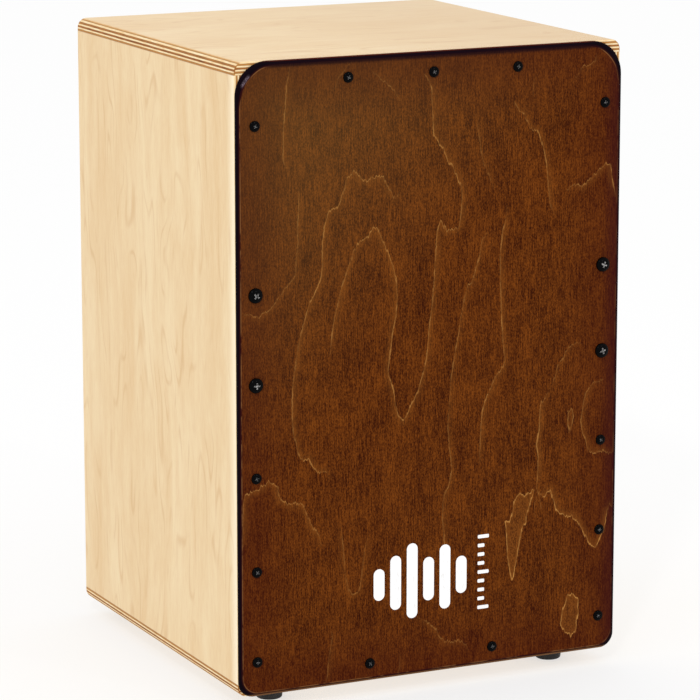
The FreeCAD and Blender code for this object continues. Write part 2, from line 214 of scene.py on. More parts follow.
def plywood(name, thickness_axis, outer, sign, panel, plies, grain, cross_grain, seed):
    """Solid plywood: outer is the outer face's place on the thickness axis, and sign is +1 where
    that face looks towards +axis. The plies turn their grain in turn, so every edge shows them."""
    s = Shader(name)
    place = s.place()
    component = s.parts(place)["XYZ".index(thickness_axis)]
    depth = s.math("MULTIPLY_ADD", component, -sign, sign * outer + 0.03)
    layer = s.math("DIVIDE", depth, panel / plies)
    index = s.math("FLOOR", layer)
    crossed = s.math("MODULO", index, 2.0)
    normal = s.normal()
    facing = {
        axis: s.math("ABSOLUTE", s.vector("DOT_PRODUCT", normal, AXES[axis]))
        for axis in (thickness_axis, grain, cross_grain)
    }
    edge = s.step(facing[thickness_axis], 0.985, 0.90)
    end_grain = s.step(s.blend(crossed, facing[grain], facing[cross_grain]), 0.12, 0.55)

    face, fleck, fibre = birch_face(s, place, grain, seed, 2.4 if thickness_axis == "Z" else 1.0)
    streak = s.noise(place, (9, 9, 0.5) if thickness_axis == "Z" else (0.5, 9, 9), seed + 21, 3, 0.6)
    speck = s.noise(place, (0.35, 0.35, 0.35), seed + 23, 2, 0.6)
    patch = s.noise(place, (30, 30, 30), seed + 27, 2)
    long_edge = s.mix(s.step(streak, 0.3, 0.7), srgb(236, 198, 140), srgb(253, 234, 194))
    ends = s.mix(s.step(streak, 0.3, 0.7), srgb(92, 38, 8), srgb(168, 98, 40))
    ends = s.mix(s.step(speck, 0.35, 0.75, 0.0, 0.4), ends, srgb(98, 46, 14))
    ends = s.mix(s.step(patch, 0.35, 0.65, 0.0, 0.25), ends, srgb(204, 140, 76))
    outer_ply = s.math("ABSOLUTE", s.math("MULTIPLY_ADD", index, 0.25, -0.85))
    ends = s.mix(s.math("MULTIPLY", outer_ply, 0.75), ends, srgb(216, 160, 88))
    sawn = s.mix(end_grain, long_edge, ends)
    if thickness_axis == "X":
        # Painted highlight: the side panel's face is lightened over its last 14 mm before the front edge,
        # where the corner catches the light.
        from_front = s.math("SUBTRACT", s.parts(place)[1], SIDE_LOW.y)
        face = s.mix(s.step(from_front, 14, 0, 0.0, 0.85), face, srgb(255, 240, 208))
        joint = s.math("ABSOLUTE", s.math("SUBTRACT", s.parts(place)[2], (SIDE_LOW.z + SIDE_HIGH.z) / 2))
        at_joint = s.step(joint, (SIDE_HIGH.z - SIDE_LOW.z) / 2 - 0.6, (SIDE_HIGH.z - SIDE_LOW.z) / 2)
        face = s.mix(s.math("MULTIPLY", at_joint, 0.55), face, srgb(132, 74, 30))
    elif thickness_axis == "Z":
        # Painted shade: the face grows darker towards the right, away from the key light on the left.
        painted_shade_rightward = s.step(s.parts(place)[0], -150, 150, 0.0, 0.46)
        face = s.mix(painted_shade_rightward, face, srgb(208, 174, 132))
    colour = s.mix(edge, face, sawn)

    within = s.math("FRACT", layer)
    from_glue = s.math("MINIMUM", within, s.math("SUBTRACT", 1.0, within))
    glue = s.math("MULTIPLY", s.step(from_glue, 0.13, 0.03, 0.0, 0.7), edge)
    colour = s.mix(glue, colour, srgb(96, 46, 14))

    height = s.math("MULTIPLY_ADD", fleck, 0.6, fibre)
    height = s.blend(edge, height, s.math("MULTIPLY", speck, 2.0))
    s.bump(height, 0.03, 0.5)
    rough = s.math("MULTIPLY_ADD", fibre, 0.18, 0.36)
    return s.finish(colour, s.blend(edge, rough, 0.6), s.blend(edge, 0.35, 0.08))


def softwood(name, grain, seed):
    """Planed, unfinished spruce with growth rings along one axis."""
    s = Shader(name)
    place = s.place()
    across = [n for n in "XYZ" if n != grain]
    rings = s.math("MULTIPLY", s.noise(place, along(grain, 500, 24), seed, 2), 22.0)
    parts = s.parts(place)
    rings = s.math("MULTIPLY_ADD", parts["XYZ".index(across[0])], 0.28, rings)
    late = s.step(s.math("FRACT", rings), 0.45, 1.0)
    fibre = s.noise(place, along(grain, 14, 0.5), seed + 4, 2, 0.6)
    end = s.math("ABSOLUTE", s.vector("DOT_PRODUCT", s.normal(), AXES[grain]))
    colour = s.mix(s.step(fibre, 0.25, 0.75), srgb(206, 170, 118), srgb(232, 205, 158))
    colour = s.mix(s.math("MULTIPLY", late, 0.55), colour, srgb(178, 128, 74))
    colour = s.mix(s.step(end, 0.6, 0.95, 0.0, 0.45), colour, srgb(150, 104, 60))
    s.bump(s.math("MULTIPLY_ADD", late, 0.5, fibre), 0.08, 0.5)
    return s.finish(colour, s.math("MULTIPLY_ADD", fibre, 0.2, 0.55), 0.3)


# ---- front plate ----

CORNER_TOP, CORNER_BOTTOM = 24.0, 11.0       # outline radii
ARRIS_WIDTH, ARRIS_DEPTH = 2.6, 1.5          # the rounded-over front edge
TOP_GROWTH, BOTTOM_GROWTH = 6.0, 1.0         # how much the radii grow across it
GRID = 1.25
ARC_STEPS, ARRIS_STEPS = 14, 6
SMALL_HOLE, LARGE_HOLE = 1.75, 2.15          # clearance hole radii, as in the CAD

# The light growth-ring lines of the stained veneer, each with its strength and its route in
# millimetres from the plate's lower left corner. The paler wood lies to the right of the route,
# and strength 1.0 marks a closed ring that is pale all over.
VEINS = (
    (0.75, (70, 240), (72, 258), (75, 271), (80, 289), (83, 297), (86, 305), (88, 310.5), (90.5, 315),
     (94, 318.5), (99, 320.5), (101.5, 324.5), (104, 327.3), (107, 325), (109.5, 319.5), (113, 312),
     (116, 305.5), (118.5, 300), (121, 290), (122, 277), (121, 263), (119, 253), (117.5, 243),
     (116, 232), (115, 222), (118, 214), (120, 205), (121.5, 197), (123, 191), (126.5, 187),
     (129, 189.5), (131, 193.5), (134.5, 200), (138.5, 207), (141.5, 217), (144.5, 227), (146, 238),
     (147, 250), (149, 265), (151, 288), (152.5, 308), (153, 318), (154, 324), (156.5, 327),
     (158.5, 324), (161, 320), (167, 321), (170.5, 322.5), (171.5, 328), (172.5, 336), (172.5, 345),
     (171.5, 352), (168, 359), (165, 365), (160.5, 371), (158, 377), (155, 381), (152.5, 384.5),
     (150, 388), (149.5, 400), (148.5, 421), (146.5, 425.5), (143.5, 431)),
    (0.3, (124, 414.5), (120, 420), (115, 425), (109.5, 429), (103, 436)),
    (0.3, (87, 443), (84, 440), (78.5, 435), (76, 430), (71.5, 423)),
    (0.5, (40, 367), (37, 373.5), (34.7, 378), (34.7, 385), (35.3, 400), (36.5, 415), (37.5, 430),
     (40.5, 443)),
    (0.45, (4, 274), (10.5, 273), (15.5, 271), (20, 273), (25, 275.5), (29, 281), (34, 287), (40, 293),
     (44, 298), (45.5, 318), (45.5, 330), (46.5, 345), (46.5, 357)),
    (0.7, (68.7, 150), (68, 156), (65.5, 157.3), (62, 155.8), (59, 158), (56, 162), (53.5, 167.5),
     (50, 166), (47, 168), (44.5, 175), (42, 184), (41.3, 193), (41, 205), (41.5, 218), (43, 230),
     (44.5, 240), (46.5, 251), (49.5, 262), (52, 271), (56, 280), (60, 286.5), (63, 292), (64, 300),
     (64.5, 318), (66, 331), (68.5, 339.5), (71.5, 342.5), (75, 341.5), (77.5, 345), (80, 352),
     (81.5, 356), (82.5, 363), (86, 364.5), (89, 368), (91.5, 365), (94.5, 361), (99, 359.5),
     (103, 362), (107, 362.3), (111, 360.5), (114.5, 355), (117.5, 349), (120.5, 346), (123.5, 349)),
    (0.7, (188, 150), (188, 158), (188.5, 170), (189.5, 183), (191, 192), (193, 198), (195.5, 202),
     (198.5, 207), (200.5, 211.5), (203, 215), (206.5, 219), (207.5, 224), (206, 236), (205, 250),
     (204, 268), (203.5, 285), (203, 300), (205, 315), (207, 325), (208, 334)),
    (0.5, (154, 73), (158.5, 77), (160.5, 84), (159.5, 102), (158.7, 112), (159, 123), (161, 132),
     (164, 138), (165.5, 148), (163.5, 165), (162.5, 178), (163.3, 195), (164.5, 210), (166.5, 225),
     (169, 238), (171, 250), (173, 260), (174.5, 268), (176, 275), (178, 279), (180.5, 281),
     (183, 288), (186.5, 300), (188, 307), (189.5, 312), (192.5, 316)),
    (0.3, (197.5, 347), (193, 358), (188, 370), (186, 383), (183, 400)),
    (0.6, (246, 325), (242.5, 335), (241.5, 347), (240, 358), (238.5, 368), (236, 377), (233.5, 384),
     (232, 387), (228, 386.5), (224, 393), (220.5, 399), (217, 401), (214, 408)),
    (0.35, (228.7, 411), (228.5, 418), (229.5, 424)),
    (0.7, (256.7, 342.5), (260, 344.7), (264, 345.5), (269, 343.3), (277.5, 350.5), (283, 355.3),
     (288.5, 359.2), (291.5, 358.7), (292.5, 353.3), (294, 345), (296, 335)),
    (0.4, (261.5, 420), (265, 426), (267.5, 429.7), (274, 430.3), (278, 432.5), (279, 437.5)),
    (0.9, (234.3, 126), (235, 135), (235.7, 149), (234, 158), (235, 165), (236, 171), (236.5, 184),
     (237.5, 188.5), (240.5, 192), (243, 196.5)),
    (0.45, (243, 196.5), (246, 202), (249, 209), (251, 215), (254.5, 219), (256.5, 224), (260, 228),
     (265, 230), (270, 229.5)),
    (1.0, (234.3, 126), (232, 123.5), (230, 119), (228.5, 113), (226.5, 108), (226, 102), (223, 99),
     (221.5, 91), (219.5, 81), (218, 72), (216.5, 64), (215, 60), (213.5, 66), (212, 74), (211, 82),
     (210.5, 92), (210, 100), (209, 105), (212, 104), (214, 107), (215.5, 112), (216, 118),
     (218.5, 121), (221.5, 124), (225, 121), (226.5, 124), (229.5, 123), (232, 125), (234.3, 126)),
    (0.95, (298, 106.5), (295, 107), (293, 103), (292, 95), (290, 88), (287, 82), (284.5, 77),
     (280.5, 77.5), (277.5, 82), (274, 89), (270, 95.5), (267, 99), (263.5, 103), (260.5, 102),
     (257.5, 103), (254, 105.5), (250.5, 109), (249, 114), (247, 119), (245.5, 123), (243, 122),
     (240, 119.5), (236.5, 122), (234.3, 126)),
    (0.5, (236.5, 124), (238.5, 111)),
    (0.55, (260, 180), (263, 181), (264, 176), (262.5, 170), (261, 164), (259.5, 172), (260, 180)),
    (0.6, (298.5, 145), (295, 146), (289, 148), (284, 148.5), (280, 147.5), (276.7, 150), (275, 156),
     (272.5, 161.7), (271, 167.5), (270, 173), (271.7, 181), (273, 187.5), (274, 193), (277.5, 197.5),
     (281.7, 200.5), (287.5, 201.5)),
    (1.0, (263.3, 44.5), (266.7, 41.7), (270, 40), (270, 35), (270.3, 27.5), (268.7, 23.3),
     (268.7, 18.3), (267.5, 14.7), (265, 13.5), (264.3, 10.8), (263.3, 14), (259, 16.5), (257.5, 19),
     (255.5, 21.7), (256.2, 26.7), (257, 32.5), (259.2, 36.7), (260.8, 41.7), (263.3, 44.5)),
    (0.75, (3, 110), (3, 125), (3.5, 140), (5, 145), (8, 147), (17, 150), (20, 152.5), (24, 153.5),
     (28, 152), (30, 150), (30.5, 144), (32, 139.5), (36, 138), (39.5, 136), (43, 136.8), (46, 135.5),
     (49, 135), (51, 130), (53.5, 124.5), (57, 117), (61.5, 111), (63, 104)),
    (0.4, (78, 118), (80, 100), (81.5, 85), (82.5, 77), (84.5, 69.5), (87, 65.7), (90, 65), (92.5, 67),
     (94, 74), (95.5, 85), (97, 97), (100, 107)),
    (0.45, (63.5, 3), (66, 3.5), (67.5, 7), (68, 11), (68.5, 18), (70, 27), (72, 36), (71, 40)),
    (0.35, (120, 3), (123.5, 3.5), (124.7, 8), (124.7, 17)),
    (0.45, (138.5, 43), (142, 40), (146, 37.5), (150, 35), (153, 31.5), (156.5, 26.5), (160.5, 21.5),
     (166, 20.5), (171, 20.5), (176, 19), (180, 13)),
)
VEIN_REACH = 12.0                            # beyond this distance a vein is not felt
VEIN_FULL = 7.0                              # up to this distance it keeps its whole strength
END_FADE = 12.0                              # an open route grows faint over its last stretch


def arris_radii(inset):
    """Corner radii of the plate's outline where its arris has come in by inset."""
    share = inset / ARRIS_WIDTH
    return CORNER_TOP + TOP_GROWTH * share, CORNER_BOTTOM + BOTTOM_GROWTH * share


def plate_rows(inset):
    """(height, half width) of each row of the plate's grid, on the outline moved in by inset."""
    top, bottom = arris_radii(inset)
    half = HALF_WIDTH - inset
    low, high = PLATE_LOW.z + inset, PLATE_HIGH.z - inset
    face_top, face_bottom = arris_radii(ARRIS_WIDTH)
    straight = PLATE_HIGH.z - PLATE_LOW.z - 2 * ARRIS_WIDTH - face_top - face_bottom
    count = round(straight / GRID)
    turns = [math.pi / 2 * k / ARC_STEPS for k in range(ARC_STEPS + 1)]
    rows = [(low + bottom * (1 - math.cos(t)), half - bottom + bottom * math.sin(t)) for t in turns]
    span = (high - top) - (low + bottom)
    rows += [(low + bottom + span * k / count, half) for k in range(1, count)]
    rows += [(high - top + top * math.sin(t), half - top + top * math.cos(t)) for t in turns]
    return rows


def plate_mesh():
    """The front plate: a fine grid on its face, a rounded arris, straight sides and a plain back."""
    face_rows = plate_rows(ARRIS_WIDTH)
    columns = round(2 * HALF_WIDTH / GRID)
    last = len(face_rows) - 1
    shares = [2 * c / columns - 1 for c in range(columns + 1)]
    rim = [(0, c) for c in range(columns + 1)]
    rim += [(r, columns) for r in range(1, last + 1)]
    rim += [(last, c) for c in range(columns - 1, -1, -1)]
    rim += [(r, 0) for r in range(last - 1, 0, -1)]

    face_y = PLATE_LOW.y
    points = [(half * u, face_y, z) for z, half in face_rows for u in shares]
    width = columns + 1
    faces = []
    for r in range(last):
        for c in range(columns):
            a = r * width + c
            faces.append((a, a + 1, a + width + 1, a + width))

    profile = []
    for k in range(1, ARRIS_STEPS + 1):
        t = math.pi / 2 * k / ARRIS_STEPS
        profile.append((ARRIS_WIDTH * (1 - math.sin(t)), ARRIS_DEPTH * (1 - math.cos(t))))
    profile.append((0.0, PLATE_HIGH.y - PLATE_LOW.y))
    ring = [r * width + c for r, c in rim]
    for inset, depth in profile:
        rows = plate_rows(inset)
        start = len(points)
        points += [(rows[r][1] * shares[c], face_y + depth, rows[r][0]) for r, c in rim]
        following = list(range(start, start + len(rim)))
        for k in range(len(rim)):
            n = (k + 1) % len(rim)
            faces.append((ring[k], following[k], following[n], ring[n]))
        ring = following
    faces.append(tuple(ring))

    mesh = bpy.data.meshes.new("front_plate_veneered")
    mesh.from_pydata([[v * MM for v in p] for p in points], [], faces)
    return mesh


def make_consistent(mesh):
    """Faces all look outward."""
    work = bmesh.new()
    work.from_mesh(mesh)
    bmesh.ops.recalc_face_normals(work, faces=work.faces)
    work.to_mesh(mesh)
    work.free()


def screw_holes(mesh):
    """Cuts the clearance holes for the plate's screws, read from the screws' own places."""
    cutters = bmesh.new()
    turn = Vector((0, 0, 1)).rotation_difference(Vector((0, 1, 0))).to_matrix()
    plate_middle = (PLATE_LOW.y + PLATE_HIGH.y) / 2
    for node, radius in (("plate_screws_small", SMALL_HOLE), ("plate_screws_large", LARGE_HOLE)):
        for centre in loose_centres(nodes[node].data):
            made = bmesh.ops.create_cone(
                cutters, cap_ends=True, segments=20, radius1=radius * MM, radius2=radius * MM, depth=0.02
            )
            bmesh.ops.rotate(cutters, verts=made["verts"], matrix=turn)
            place = Vector((centre[0], plate_middle * MM, centre[2]))
            bmesh.ops.translate(cutters, verts=made["verts"], vec=place)
    cutter_mesh = bpy.data.meshes.new("cutters")
    cutters.to_mesh(cutter_mesh)
    cutters.free()
    plate = bpy.data.objects.new("front_plate_veneered", mesh)
    cutter = bpy.data.objects.new("cutters", cutter_mesh)
    for o in (plate, cutter):
        bpy.context.scene.collection.objects.link(o)
    cut = plate.modifiers.new("holes", "BOOLEAN")
    cut.operation = "DIFFERENCE"
    cut.solver = "EXACT"
    cut.object = cutter
    result = bpy.data.meshes.new_from_object(plate.evaluated_get(bpy.context.evaluated_depsgraph_get()))
    plate.modifiers.remove(cut)
    plate.data = result
    bpy.data.objects.remove(cutter)
    return plate


def loose_centres(mesh):
    """The centre of each separate piece of a mesh, in metres."""
    work = bmesh.new()
    work.from_mesh(mesh)
    bmesh.ops.remove_doubles(work, verts=work.verts, dist=1e-6)
    unseen = set(work.verts)
    centres = []
    while unseen:
        group, front = [], [unseen.pop()]
        while front:
            vert = front.pop()
            group.append(vert.co)
            for e in vert.link_edges:
                other = e.other_vert(vert)
                if other in unseen:
                    unseen.remove(other)
                    front.append(other)
        low = [min(co[k] for co in group) for k in range(3)]
        high = [max(co[k] for co in group) for k in range(3)]
        centres.append([(a + b) / 2 for a, b in zip(low, high)])
    work.free()
    return sorted(centres)


def edge_depth(x, z):
    """How far inside the flat face a point of the plate is, in mm; negative on the arris."""
    top, bottom = arris_radii(ARRIS_WIDTH)
    half = HALF_WIDTH - ARRIS_WIDTH
    low, high = PLATE_LOW.z + ARRIS_WIDTH, PLATE_HIGH.z - ARRIS_WIDTH
    upper = z > (low + high) / 2
    radius = np.where(upper, top, bottom)
    qx = np.abs(x) - half + radius
    qz = np.where(upper, z - high + radius, low + radius - z)
    outside = np.hypot(np.maximum(qx, 0), np.maximum(qz, 0))
    return radius - outside - np.minimum(np.maximum(qx, qz), 0)


def vein_fields(x, z):
    """For each point of the plate: the signed distance to the nearest vein in mm, how strong the
    vein is there, and how level it runs (0 upright, 1 level)."""
    nearest = np.full(x.shape, 1e9)
    offset = np.full(x.shape, VEIN_REACH)
    strength = np.zeros(x.shape)
    level = np.zeros(x.shape)
    off_line = np.zeros(x.shape)
    origin = np.array((-HALF_WIDTH, PLATE_LOW.z))
    for power, *route in VEINS:
        points = [np.array(p, float) + origin for p in route]
        lengths = [np.linalg.norm(b - a) for a, b in zip(points, points[1:])]
        total, run = sum(lengths), 0.0
        closed = route[0] == route[-1]
        for a, b, length in zip(points, points[1:], lengths):
            line = (b - a) / length
            rx, rz = x - a[0], z - a[1]
            t = np.clip(rx * line[0] + rz * line[1], 0, length)
            dx, dz = rx - t * line[0], rz - t * line[1]
            distance = np.hypot(dx, dz)
            cross = rx * line[1] - rz * line[0]
            # where two segments meet at a kink, the one seen more squarely gives the side
            tied = (np.abs(distance - nearest) < 1e-6) & (np.abs(cross) > off_line)
            closer = (distance < nearest - 1e-6) | tied
            nearest = np.where(closer, distance, nearest)
            off_line = np.where(closer, np.abs(cross), off_line)
            offset = np.where(closer, np.sign(cross) * np.minimum(distance, VEIN_REACH), offset)
            from_end = np.minimum(run + t, total - run - t)
            fade = 1.0 if closed else np.clip(from_end / END_FADE, 0.35, 0.95)
            if not closed:
                fade = np.where((from_end < 1e-6) & (distance > 0.8), 0.0, fade)
            strength = np.where(closer, power * fade, strength)
            level = np.where(closer, abs(line[0]), level)
            run += length
    past_full = (np.abs(offset) - VEIN_FULL) / (VEIN_REACH - VEIN_FULL)
    strength = strength * np.clip(1 - past_full, 0, 1)
    return offset, strength, level


def add_values(mesh, name, values):
    layer = mesh.attributes.new(name, "FLOAT", "POINT")
    layer.data.foreach_set("value", np.asarray(values, np.float32))


def stained_veneer():
    """Brown-stained birch veneer: upright flecks, mottling, light growth-ring lines, dark edge, a painted
    sheen towards the upper left and a painted highlight on the upper left arris.
    """
    s = Shader("stained_veneer")
    place = s.place()
    y = s.parts(place)[1]
    fleck = s.noise(place, (0.6, 50, 1.3), 2.0, 2, 0.6)
    fibre = s.noise(place, (0.75, 50, 13), 7.0, 2, 0.6)
    streak = s.noise(place, (7, 50, 90), 11.0, 2, 0.5)
    mottle = s.noise(place, (20, 50, 38), 17.0, 3, 0.6)
    tone = s.math("MULTIPLY_ADD", fleck, 2.1, -2.18)
    tone = s.math("MULTIPLY_ADD", fibre, 1.75, tone)
    tone = s.math("MULTIPLY_ADD", streak, 0.35, tone)
    tone = s.math("MULTIPLY_ADD", mottle, 0.75, tone)
    colour = s.mix(s.step(tone, -0.35, 1.25), srgb(46, 9, 0), srgb(128, 67, 16))
    depth = s.attribute("edge_depth")
    across, _, up = s.parts(place)
    # Painted sheen: the face is lightened and greyed towards the upper left, where the satin lacquer reflects
    # the key light.
    corner = s.math("MULTIPLY_ADD", across, -1.0, up)
    colour = s.mix(s.step(corner, 260, 600, 0.0, 0.22), colour, srgb(126, 100, 54))
    colour = s.mix(s.step(depth, 55, -5, 0.0, 0.45), colour, srgb(64, 14, 4))
    colour = s.mix(s.step(across, HALF_WIDTH - 16, HALF_WIDTH - 3, 0.0, 0.6), colour, srgb(52, 9, 13))

    offset = s.attribute("vein_offset")
    strength = s.attribute("vein_strength")
    level = s.attribute("vein_level")
    saw = s.noise(place, (1.7, 50, 30), 31.0, 1, 0.4)
    wander = s.noise(place, (6, 50, 4), 37.0, 3, 0.7)
    swing = s.math("MULTIPLY_ADD", level, 5.2, 0.9)
    jag = s.math("MULTIPLY", s.math("SUBTRACT", saw, 0.5), swing)
    jag = s.math("MULTIPLY_ADD", s.math("SUBTRACT", wander, 0.5), 1.6, jag)
    near = s.math("ADD", offset, jag)
    line = s.step(s.math("ABSOLUTE", near), 0.66, 0.04)
    broken = s.step(s.noise(place, (2.5, 50, 7), 41.0, 2, 0.6), 0.34, 0.60, 0.28, 1.0)
    patchy = s.step(s.noise(place, (18, 50, 34), 45.0, 2, 0.5), 0.36, 0.58, 0.45, 1.0)
    patchy = s.math("MAXIMUM", patchy, s.step(strength, 0.6, 0.85))
    upright = s.step(level, 0.05, 0.5, 0.85, 1.0)
    broken = s.math("MULTIPLY", broken, s.math("MAXIMUM", s.math("MULTIPLY", patchy, upright), level))
    line = s.math("MULTIPLY", s.math("MULTIPLY", line, strength), broken)
    shade = s.math("MULTIPLY", s.step(near, 0.0, 6.0, 0.35, 0.0), strength)
    shade = s.math("MULTIPLY", shade, s.step(near, -0.2, 0.2))
    filled = s.math("MULTIPLY", s.step(strength, 0.955, 0.99), s.step(near, -0.3, 0.5, 0.0, 0.34))
    filled = s.math("MULTIPLY", filled, s.step(fleck, 0.36, 0.62, 0.35, 1.1))
    shade = s.math("MAXIMUM", shade, filled)
    colour = s.mix(shade, colour, srgb(138, 82, 30))
    colour = s.mix(line, colour, srgb(178, 124, 62))

    from_middle = s.math("ABSOLUTE", across)
    in_corner = s.math("MULTIPLY", s.step(from_middle, HALF_WIDTH - 28, HALF_WIDTH - 16),
                       s.step(up, PLATE_HIGH.z - 28, PLATE_HIGH.z - 16))
    depth = s.math("MULTIPLY_ADD", in_corner, 0.9, depth)
    ragged = s.noise(place, (2.0, 2.0, 6.0), 51.0, 3, 0.6)
    bleed = s.math("MULTIPLY_ADD", ragged, -2.0, depth)
    colour = s.mix(s.step(bleed, 0.2, -1.4, 0.0, 0.7), colour, srgb(52, 10, 8))
    colour = s.mix(s.step(depth, 0.15, -0.15), colour, srgb(38, 6, 9))
    colour = s.mix(s.step(depth, -0.9, -1.5), colour, srgb(11, 2, 9))
    straight_top = s.math("MULTIPLY", s.step(from_middle, HALF_WIDTH - 16, HALF_WIDTH - 30),
                          s.step(up, PLATE_HIGH.z - 6, PLATE_HIGH.z - 3.5))
    facing_up = s.step(s.parts(s.normal())[2], 0.45, 0.8)
    colour = s.mix(s.math("MULTIPLY", facing_up, s.math("MULTIPLY", straight_top, 0.85)), colour,
                   srgb(86, 30, 12))
    colour = s.mix(s.math("MULTIPLY", s.step(facing_up, 0.4, 0.0), s.math("MULTIPLY", straight_top, 0.8)),
                   colour, srgb(12, 2, 12))
    worn = s.step(s.noise(place, (14, 14, 14), 57.0, 3, 0.6), 0.40, 0.60)
    worn = s.math("MULTIPLY", worn, s.math("SUBTRACT", 1.0, straight_top))
    worn = s.math("MULTIPLY", worn, s.step(across, HALF_WIDTH - 8, HALF_WIDTH - 4, 1.0, 0.4))
    rubbed = s.math("MULTIPLY", s.step(s.math("ABSOLUTE", depth), 0.55, 0.1), worn)
    colour = s.mix(s.math("MULTIPLY", rubbed, 0.55), colour, srgb(146, 98, 54))
    # Painted highlight: a speckled pale patch on the upper left corner's arris stands for the key light's
    # reflection in the glossy lacquer there.
    highlight_spot_distance = s.vector("DISTANCE", place, (-HALF_WIDTH + 7.5, PLATE_LOW.y + 0.8, PLATE_HIGH.z - 13.5))
    painted_highlight_patch = s.math("MULTIPLY", s.step(highlight_spot_distance, 6.0, 2.5), s.step(depth, -0.4, -1.0))
    painted_highlight_patch = s.math("MULTIPLY", painted_highlight_patch, s.step(depth, -3.2, -2.2))
    highlight_speckle = s.step(s.noise(place, (0.8, 0.8, 0.8), 61.0, 2, 0.6), 0.42, 0.62, 0.25, 1.0)
    colour = s.mix(s.math("MULTIPLY", painted_highlight_patch, s.math("MULTIPLY", highlight_speckle, 0.5)), colour, srgb(150, 130, 142))
    low_edge = s.math("MULTIPLY", s.step(up, PLATE_LOW.z + 2.2, PLATE_LOW.z + 0.7), s.step(depth, -0.7, -1.1))
    colour = s.mix(s.math("MULTIPLY", low_edge, 0.8), colour, srgb(124, 86, 52))

    back = s.step(y, PLATE_HIGH.y - 0.15, PLATE_HIGH.y - 0.02)
    bare = s.mix(fibre, srgb(214, 178, 126), srgb(236, 208, 162))
    colour = s.mix(back, colour, bare)
    s.bump(s.math("MULTIPLY_ADD", fleck, 0.7, fibre), 0.03, 0.35)
    return s.finish(colour, s.math("MULTIPLY_ADD", fibre, 0.2, 0.38), 0.03)


def front_plate():
    mesh = plate_mesh()
    make_consistent(mesh)
    plate = screw_holes(mesh)
    mesh = plate.data
    co = np.zeros(len(mesh.vertices) * 3)
    mesh.vertices.foreach_get("co", co)
    x, _, z = co.reshape(-1, 3).T / MM
    add_values(mesh, "edge_depth", edge_depth(x, z))
    offset, strength, level = vein_fields(x, z)
    add_values(mesh, "vein_offset", offset)
    add_values(mesh, "vein_strength", strength)
    add_values(mesh, "vein_level", level)
    mesh.materials.clear()
    mesh.materials.append(stained_veneer())
    mesh.shade_smooth()
    bpy.context.view_layer.objects.active = plate
    mesh.set_sharp_from_angle(angle=math.radians(32))
    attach(plate, "root")
    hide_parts("front_plate")
    return plate


# ---- printed mark ----

PRINT_THICK = 0.08
PRINT_LEFT, PRINT_BOTTOM = 104.0, 42.0       # from the plate's lower left corner
PRINT_TALL = 55.0
BAR_HEIGHTS = (0.42, 0.72, 1.0, 0.58, 0.86, 0.5)
BAR_WIDE, BAR_GAP = 8.6, 4.5
TICK_LEFT, TICK_WIDE, TICK_TALL, TICK_COUNT = 187.0, 9.0, 2.6, 9


def rounded_slab(work, x0, x1, z0, z1, radius):
    """A thin flat slab with rounded corners, standing on the plate's face."""
    outline = []
    for cx, cz, start in (
        (x1 - radius, z1 - radius, 0),
        (x0 + radius, z1 - radius, 90),
        (x0 + radius, z0 + radius, 180),
        (x1 - radius, z0 + radius, 270),
    ):
        for k in range(9):
            a = math.radians(start + 90 * k / 8)
            outline.append((cx + radius * math.cos(a), cz + radius * math.sin(a)))
    face_y = PLATE_LOW.y
    back = [work.verts.new((x * MM, (face_y + 0.02) * MM, z * MM)) for x, z in outline]
    front = [work.verts.new((x * MM, (face_y - PRINT_THICK) * MM, z * MM)) for x, z in outline]
    work.faces.new(front)
    work.faces.new(list(reversed(back)))
    for k in range(len(outline)):
        n = (k + 1) % len(outline)
        work.faces.new((front[k], back[k], back[n], front[n]))


def printed_mark():
    """A plain white print: upright level bars and a scale of ticks, with no lettering."""
    work = bmesh.new()
    left = -HALF_WIDTH + PRINT_LEFT
    low = PLATE_LOW.z + PRINT_BOTTOM
    for k, share in enumerate(BAR_HEIGHTS):
        x0 = left + k * (BAR_WIDE + BAR_GAP)
        tall = PRINT_TALL * share
        middle = low + PRINT_TALL / 2
        rounded_slab(work, x0, x0 + BAR_WIDE, middle - tall / 2, middle + tall / 2, BAR_WIDE / 2 - 0.01)
    x0 = -HALF_WIDTH + TICK_LEFT
    pitch = (PRINT_TALL - TICK_TALL) / (TICK_COUNT - 1)
    for k in range(TICK_COUNT):
        z0 = low + k * pitch
        wide = TICK_WIDE if k % 4 == 0 else TICK_WIDE * 0.6
        rounded_slab(work, x0, x0 + wide, z0, z0 + TICK_TALL, 0.8)
    bmesh.ops.recalc_face_normals(work, faces=work.faces)
    mesh = bpy.data.meshes.new("printed_level_mark")
    work.to_mesh(mesh)
    work.free()
    s = Shader("white_print")
    place = s.place()
    grainy = s.noise(place, (0.5, 50, 5), 3.0, 2, 0.6)
    colour = s.mix(s.step(grainy, 0.25, 0.5), srgb(232, 230, 228), srgb(252, 252, 252))
    s.bump(grainy, 0.02, 0.3)
    mesh.materials.append(s.finish(colour, 0.5, 0.3))
    mark = bpy.data.objects.new("printed_level_mark", mesh)
    bpy.context.scene.collection.objects.link(mark)
    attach(mark, "root")
    return mark


# ---- snare strands ----

COIL_RADIUS, WIRE_RADIUS = 0.73, 0.21
COIL_PITCH = 1.9
COIL_STEPS, WIRE_SIDES = 8, 4
STRANDS = 10
STRAND_PITCH, STRAND_FAN = 5.2, 0.3
STRAND_REACH = 0.3                            # from the strands' tips to the plate
BEND_ABOVE_CLAMP = 3.5


def strand_route(x, splay, low, high):
    """Bottom, bend and tip of one strand's centre line."""
    radius = COIL_RADIUS + WIRE_RADIUS
    y = high.y - radius
    _, clamp_high = box_mm("snare_clamp_left")
    bend_z = clamp_high.z + BEND_ABOVE_CLAMP
    drift = (high.z - bend_z) * math.tan(math.radians(splay))
    tip_y = PLATE_HIGH.y + STRAND_REACH + radius
    return [Vector((x, y, low.z)), Vector((x, y, bend_z)), Vector((x + drift, tip_y, high.z))]


